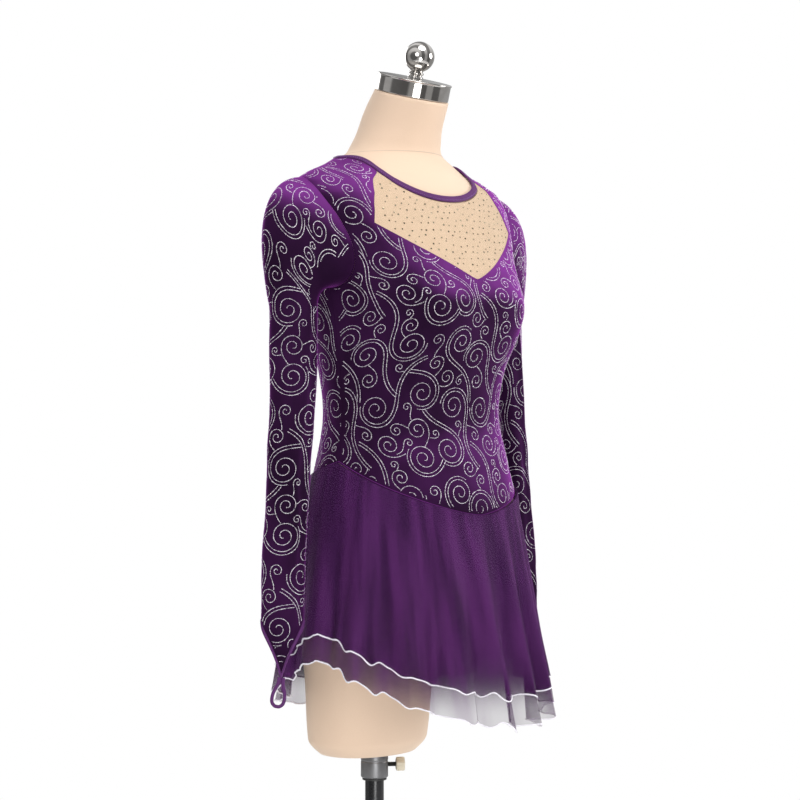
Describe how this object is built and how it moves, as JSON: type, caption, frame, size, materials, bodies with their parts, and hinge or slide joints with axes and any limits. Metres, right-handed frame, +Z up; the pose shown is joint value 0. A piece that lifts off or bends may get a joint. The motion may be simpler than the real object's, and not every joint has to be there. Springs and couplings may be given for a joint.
{
  "type": "figure skating dress on a limbless dress form with stand",
  "caption": "Long-sleeved figure skating dress with a see-through yoke and a two-layer skirt, worn by a limbless dress form on a pole stand.",
  "frame": {"origin": "middle of the base's underside, on the pole's axis, where the stand rests on the floor", "axes": "+Z up along the pole; the dress faces -Y; the wearer's right sleeve is at -X"},
  "size_m": [0.487, 0.4346, 1.5033],
  "materials": {
    "velvet": "matte",
    "chiffon": "matte",
    "mesh": "matte",
    "binding": "satin",
    "jersey": "matte",
    "chrome": "polished",
    "grey_metal": "satin",
    "black_metal": "satin",
    "nylon": "matte",
    "knob_plastic": "gloss"
  },
  "bodies": {
    "stand": {"base": "black_metal", "pole": "black_metal"},
    "bush": {"collar_bush": "nylon"},
    "form": {"form_body": "jersey", "neck_cap": "chrome", "finial": "chrome", "stand_collar": "grey_metal", "bodice_front": "velvet", "bodice_back": "velvet", "mesh_insert": "mesh", "neck_binding": "binding", "sleeve_right": "velvet", "sleeve_left": "velvet", "cuff_binding_right": "binding", "cuff_binding_left": "binding", "finger_loop_right": "binding", "finger_loop_left": "binding", "skirt_upper": "chiffon", "skirt_lower": "chiffon"},
    "knob": {"clamp_knob": "knob_plastic"}
  },
  "joints": [
    {"name": "form_height", "type": "slide", "parent": "stand", "child": "bush", "axis": [0, 0, 1], "range_m": [-0.09, 0.15]},
    {"name": "form_turn", "type": "hinge", "parent": "bush", "child": "form", "pos_m": [0, 0, 0.585], "axis": [0, 0, 1], "continuous": true},
    {"name": "knob_turn", "type": "hinge", "parent": "form", "child": "knob", "pos_m": [0, 0, 0.586], "axis": [0.766, -0.6428, 0], "continuous": true}
  ]
}
